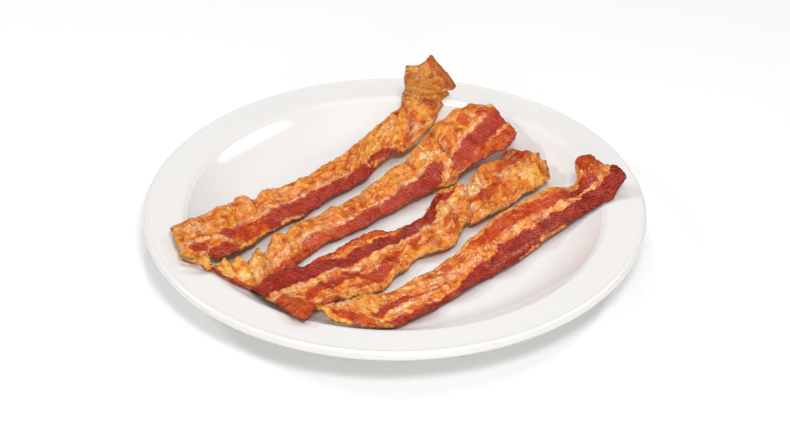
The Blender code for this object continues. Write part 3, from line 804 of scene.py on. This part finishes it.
# the upper and lower sheets: the middle surface moved out along its normal by half the
# thickness, which shrinks to nothing at the outline as a quarter circle does
def stripSheets(grid, places, lean, height, seed):
    looks, gone, acrossMm = stripLooks, grid.gone, grid.acrossMm
    normal = unit(np.cross(np.gradient(places, axis=1), np.gradient(places, axis=0)))
    fromRim = np.clip(grid.inside / looks["edgeRound"], 0, 1)
    rounded = np.sqrt(np.clip(1 - (1 - fromRim) ** 2, 0, 1))
    full = smoothStep(0, looks["thinReach"], grid.inside)
    half = looks["thickness"] / 2 * (looks["edgeThin"] + (1 - looks["edgeThin"]) * full)
    half = half * (1 + looks["unevenness"] * layeredNoise(gone / 7, acrossMm / 7, seed + 20))
    under = looks["underRelief"] * layeredNoise(gone / 3.2, acrossMm / 3.2, seed + 21)
    sink = looks["leanSinkUnder"] * smoothStep(0.3, 0.9, lean)
    top = places + normal * ((half + height) * rounded)[..., None]
    low = places - normal * ((half + under - sink) * rounded)[..., None]
    return liftOffPlate(top, looks["plateGap"]), liftOffPlate(low, looks["plateGap"] * 0.7)


# values for the material: the browning of edges with painted shade in the creases; tone from dark
# to pale fat, painted lighter on crests and humps and darker in the hollows (painted highlight and shade)
# over random tone; a shade value that darkens the lean; and the bubbles' crowns, where pale glints are
# painted
def stripValues(shape, grid, parts, folds, relief, seed):
    looks, gone, acrossMm = stripLooks, grid.gone, grid.acrossMm
    crispNoise = layeredNoise(gone / 2.2, acrossMm / 2.2, seed + 22)
    edge = np.exp(-np.maximum(grid.inside, 0) / looks["crispReach"]) * smoothStep(-0.9, 0.7, crispNoise)
    # painted shade: the creases between humps darken
    creaseShadeMask = smoothStep(0.15, 1.1, -folds.humps) * smoothStep(-0.6, 0.6, crispNoise)
    # crests and humps painted lighter and hollows darker: painted highlight and shade; the noise is random
    # tone
    tone = (0.2 + 0.42 * folds.crest + 0.1 * relief.smallCrest + 0.1 * folds.humps
            + 0.26 * layeredNoise(gone / 7, acrossMm / 4, seed + 23) + 0.12 * parts.rim + shape["fatShift"])
    return {
        "lean": parts.lean, "cream": parts.cream, "gold": parts.gold,
        "crispAndCreaseShade": np.clip(looks["crispEdge"] * edge + looks["creaseShade"] * creaseShadeMask, 0, 1),
        "tone": np.clip(tone, 0, 1), "fibre": 0.5 + 0.5 * relief.fibre,
        "shade": shape["leanDark"] + 0.12 * layeredNoise(gone / 6, acrossMm / 5, seed + 27),
        "frothAndGlint": relief.frothAndGlint,
    }


def makeStrip(name):
    shape, looks = stripShapes[name], stripLooks
    seed = 100 + 50 * list(stripShapes).index(name)
    grid = stripGrid(shape, seed)
    parts = stripParts(shape, grid, seed)
    folds = stripFolds(shape, grid, parts.lean, seed)
    places = grid.places + grid.face * folds.raised[..., None]
    places = liftOffPlate(places, looks["plateGap"] + looks["thickness"] / 2)
    relief = stripRelief(shape, grid, parts, folds, seed)
    top, low = stripSheets(grid, places, parts.lean, relief.height, seed)
    values = stripValues(shape, grid, parts, folds, relief, seed)
    return closedSheet("bacon_" + name, top, low, values, grid.gone / 10, grid.acrossMm / 10)


# joins an upper and a lower sheet of the same cells along their shared outline
def closedSheet(name, top, low, values, mapX, mapY):
    rows, columns = top.shape[:2]
    upper = np.arange(rows * columns).reshape(rows, columns)
    inner = np.zeros((rows, columns), bool)
    inner[1:-1, 1:-1] = True
    lower = upper.copy()
    lower[inner] = rows * columns + np.arange(inner.sum())
    places = np.concatenate([top.reshape(-1, 3), low[inner]])
    faces = np.concatenate([gridQuads(upper)[:, ::-1], gridQuads(lower)])
    whole = {key: np.concatenate([value.ravel(), value[inner]]) for key, value in values.items()}
    mapPlaces = np.concatenate([np.column_stack([mapX.ravel(), mapY.ravel()]),
                                np.column_stack([mapX[inner], mapY[inner]])])
    return newPiece(name, places, faces, whole, mapPlaces)


# Bacon (lengths in metres). Noise scales count per centimetre of strip; ramps run dark to pale
baconLooks = {
    "fat": [(0.0, (0.38, 0.04, 0.002)), (0.2, (0.56, 0.085, 0.004)), (0.42, (0.73, 0.17, 0.010)),
            (0.62, (0.83, 0.275, 0.026)), (0.82, (0.91, 0.43, 0.08)), (1.0, (0.98, 0.66, 0.26))],
    "rust": [(0.3, (0.34, 0.018, 0.003)), (0.5, (0.56, 0.055, 0.005)), (0.7, (0.74, 0.16, 0.014))],
    "lean": [(0.2, (0.17, 0.009, 0.005)), (0.42, (0.38, 0.026, 0.011)), (0.62, (0.53, 0.062, 0.021)),
             (0.85, (0.66, 0.12, 0.044)), (1.0, (0.76, 0.19, 0.08))],
    # brown is for the browned edges and for the painted shade in the creases
    "gold": (0.93, 0.50, 0.06), "cream": (1.0, 0.74, 0.40), "brownAndCreaseShade": (0.10, 0.014, 0.003),
    # the colour of the painted glints
    "frothAndGlint": (1.0, 0.90, 0.68),
    "blotchScale": 2.7, "speckleScale": 13.0, "grainScale": 28.0, "streakStretch": (1.3, 7.0, 1.0),
    "rough": 0.3, "greaseShine": 0.15, "specular": 0.28, "bump": 0.6, "bumpHeight": 0.0006,
    "glow": 0.12, "glowReach": 0.0014, "glowColour": (1.0, 0.3, 0.1),
}


# fat, rust and lean are three ramps over noises; where the lean value rises, fat gives way to
# rust and rust to lean, and over them lie cream, pale painted glints on the bubbles' crowns and in clusters,
# and the brown of crisp edges with painted shade in the creases
def baconMaterial():
    looks = baconLooks
    made, start = newMaterial("friedBacon")
    place = start.node("UVMap", {"uv_map": "stripPlace"})
    values = {key: start.node("Attribute", {"attribute_name": key}, output="Fac")
              for key in ("lean", "cream", "gold", "crispAndCreaseShade", "tone", "fibre", "shade", "frothAndGlint")}
    blotch = place.noise(looks["blotchScale"], 3.0, 0.5)
    speckle = place.noise(looks["speckleScale"], 3.0, 0.65)
    grain = place.noise(looks["grainScale"], 2.0, 0.6)
    stretched = start.node("Mapping", {}, {"Vector": place, "Scale": looks["streakStretch"]})
    streak = stretched.noise(1.0, 3.0, 0.6, 0.8)

    def ramp(name, tone):
        return start.node("ValToRGB", {"stops": looks[name]}, {"Fac": tone})

    # the tone carries the painted highlight on crests and the painted shade in hollows
    fat = ramp("fat", values["tone"] + (blotch - 0.5) * 0.85 + (streak - 0.5) * 0.4
               + (speckle - 0.5) * (0.14 + values["frothAndGlint"] * 1.0) + values["gold"] * 0.1)
    fat = fat.mixed(looks["gold"], values["gold"] * blotch.rise(0.3, 0.6) * 0.65)
    rust = ramp("rust", 0.5 + (blotch - 0.5) * 0.8 + (streak - 0.5) * 0.8 + (speckle - 0.5) * 0.35)
    # lean paler on the fibres' crests: partly the meat's own streaks, partly painted highlight
    lean = ramp("lean", values["fibre"] * 0.42 + speckle * 0.32 + blotch * 0.34 + streak * 0.34
                - 0.3 - values["shade"])
    leanAt = values["lean"] + (speckle - 0.5) * 0.14 + (blotch - 0.5) * 0.25 + (streak - 0.5) * 0.3
    colour = fat.mixed(rust, leanAt.rise(0.12, 0.4)).mixed(lean, leanAt.rise(0.46, 0.68))
    beside = leanAt.rise(0.0, 0.1) * (1 - leanAt.rise(0.12, 0.3)) * streak.rise(0.42, 0.58)
    creamAt = values["cream"] * speckle.rise(0.32, 0.52) * 0.85 + beside * 0.4
    # painted highlight: pale glints in clusters and on the bubbles' crowns
    glintClusters = place.noise(1.5, 3.0, 0.65).rise(0.49, 0.62) * (1 - values["lean"] * 0.75)
    paintedGlints = place.noise(15.0, 2.0, 0.6).rise(0.575, 0.64) * start.maths("MAXIMUM", values["frothAndGlint"], glintClusters)
    colour = colour.mixed(looks["cream"], creamAt).mixed(looks["frothAndGlint"], paintedGlints * 0.85)
    # brown on the crisp edges, and painted shade in the creases
    colour = colour.mixed(looks["brownAndCreaseShade"], values["crispAndCreaseShade"] * (0.5 + speckle * 0.8))
    grease = place.noise(2.2, 2.0).rise(0.35, 0.6)
    height = grain * (0.2 + values["frothAndGlint"] * 0.5) + speckle * 0.4 + values["fibre"] * values["lean"] * 0.4
    finishMaterial(start, {
        "Base Color": colour, "IOR": 1.5, "Specular IOR Level": looks["specular"],
        "Roughness": looks["rough"] - grease * looks["greaseShine"] + (grain - 0.5) * 0.1,
        "Subsurface Weight": looks["glow"], "Subsurface Radius": looks["glowColour"],
        "Subsurface Scale": looks["glowReach"],
        "Normal": start.node("Bump", {}, {
            "Strength": looks["bump"], "Distance": looks["bumpHeight"], "Height": height}),
    })
    return made


# Stage: floor, lights and camera (metres)
stageLooks = {
    "floorSize": 4.0, "floor": (0.93, 0.93, 0.925), "floorGlow": 0.09,
    "world": 0.16, "worldColour": (1.0, 0.995, 0.985, 1.0),
    "aim": (0.0001, -0.01524, 0.021), "elevation": 33.66, "away": 0.9144, "lens": 92.83,
    "lights": {     # place, size, power (W), and how far the long side is turned (degrees)
        "topLight": ((-0.12, -0.05, 1.3), (1.1, 1.1), 3.9, 0),
        "keyLight": ((0.12, -0.62, 0.85), (0.22, 0.22), 4.8, 0),
        "fillLight": ((0.15, -1.25, 0.42), (0.5, 0.5), 2.6, 0),
        "rightLight": ((0.80, 0.36, 1.0), (0.7, 0.1), 2.8, -49),
        "leftLight": ((-0.95, 0.22, 0.75), (0.24, 0.06), 3.4, 0),
        "backGlint": ((-0.125, 0.413, 1.05), (0.035, 0.035), 1.2, 0),
    },
}


# a pale square floor a hair under the plate, and an even white room
def makeStage():
    side = np.linspace(-0.5, 0.5, 9) * stageLooks["floorSize"] / mm
    x, y = np.meshgrid(side, side, indexing="ij")
    places = np.stack([x, y, x * 0 - 0.1], axis=-1).reshape(-1, 3)
    floor = newPiece("studioFloor", places, gridQuads(np.arange(81).reshape(9, 9)))
    made, start = newMaterial("paleFloor")
    cloud = start.node("TexCoord", output="Object").noise(3.0, 2.0)
    darker = tuple(c * 0.99 for c in stageLooks["floor"])
    tone = start.node("ValToRGB", {"stops": [(0.3, darker), (0.7, stageLooks["floor"])]}, {"Fac": cloud})
    finishMaterial(start, {"Base Color": tone, "Roughness": 0.85, "Specular IOR Level": 0.1,
                           "Emission Color": (1.0, 1.0, 0.99, 1.0),
                           "Emission Strength": stageLooks["floorGlow"]})
    floor.data.materials.append(made)

    world = bpy.data.worlds.new("softRoom")
    world.use_nodes = True
    background = world.node_tree.nodes["Background"]
    background.inputs["Color"].default_value = stageLooks["worldColour"]
    background.inputs["Strength"].default_value = stageLooks["world"]
    scene.world = world


# a soft light at a place, facing the plate; roll turns its long side about its beam
def softLight(name, place, size, power, roll):
    light = bpy.data.lights.new(name, "AREA")
    light.shape = "RECTANGLE"
    light.size, light.size_y = size
    light.energy = power
    lamp = addObject(name, light)
    lamp.location = place
    facing = (Vector((0, 0, 0.01)) - Vector(place)).to_track_quat("-Z", "Y")
    lamp.rotation_euler = (facing @ Quaternion((0, 0, 1), math.radians(roll))).to_euler()


def makeCamera():
    looks = stageLooks
    elevation = math.radians(looks["elevation"])
    camera = addObject("camera", bpy.data.cameras.new("camera"))
    towards = Vector((0, -math.cos(elevation), math.sin(elevation)))
    camera.location = Vector(looks["aim"]) + looks["away"] * towards
    camera.rotation_euler = (math.pi / 2 - elevation, 0, 0)
    camera.data.lens = looks["lens"]
    camera.data.sensor_width = 36.0
    camera.data.clip_start, camera.data.clip_end = 0.02, 20.0
    scene.camera = camera


makeStage()
for name, (place, size, power, roll) in stageLooks["lights"].items():
    softLight(name, place, size, power, roll)
makeCamera()
scene.view_settings.view_transform = "Standard"
print("stage, lights and camera are up")

plate = makePlate()
plate.data.materials.append(glazeMaterial())
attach(plate, "root")
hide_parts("plate")
print("plate turned:", len(plate.data.polygons), "faces")

bacon = baconMaterial()
for name in stripShapes:
    strip = makeStrip(name)
    strip.data.materials.append(bacon)
    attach(strip, "root")
    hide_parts(name)
    print(name, "made:", len(strip.data.polygons), "faces")
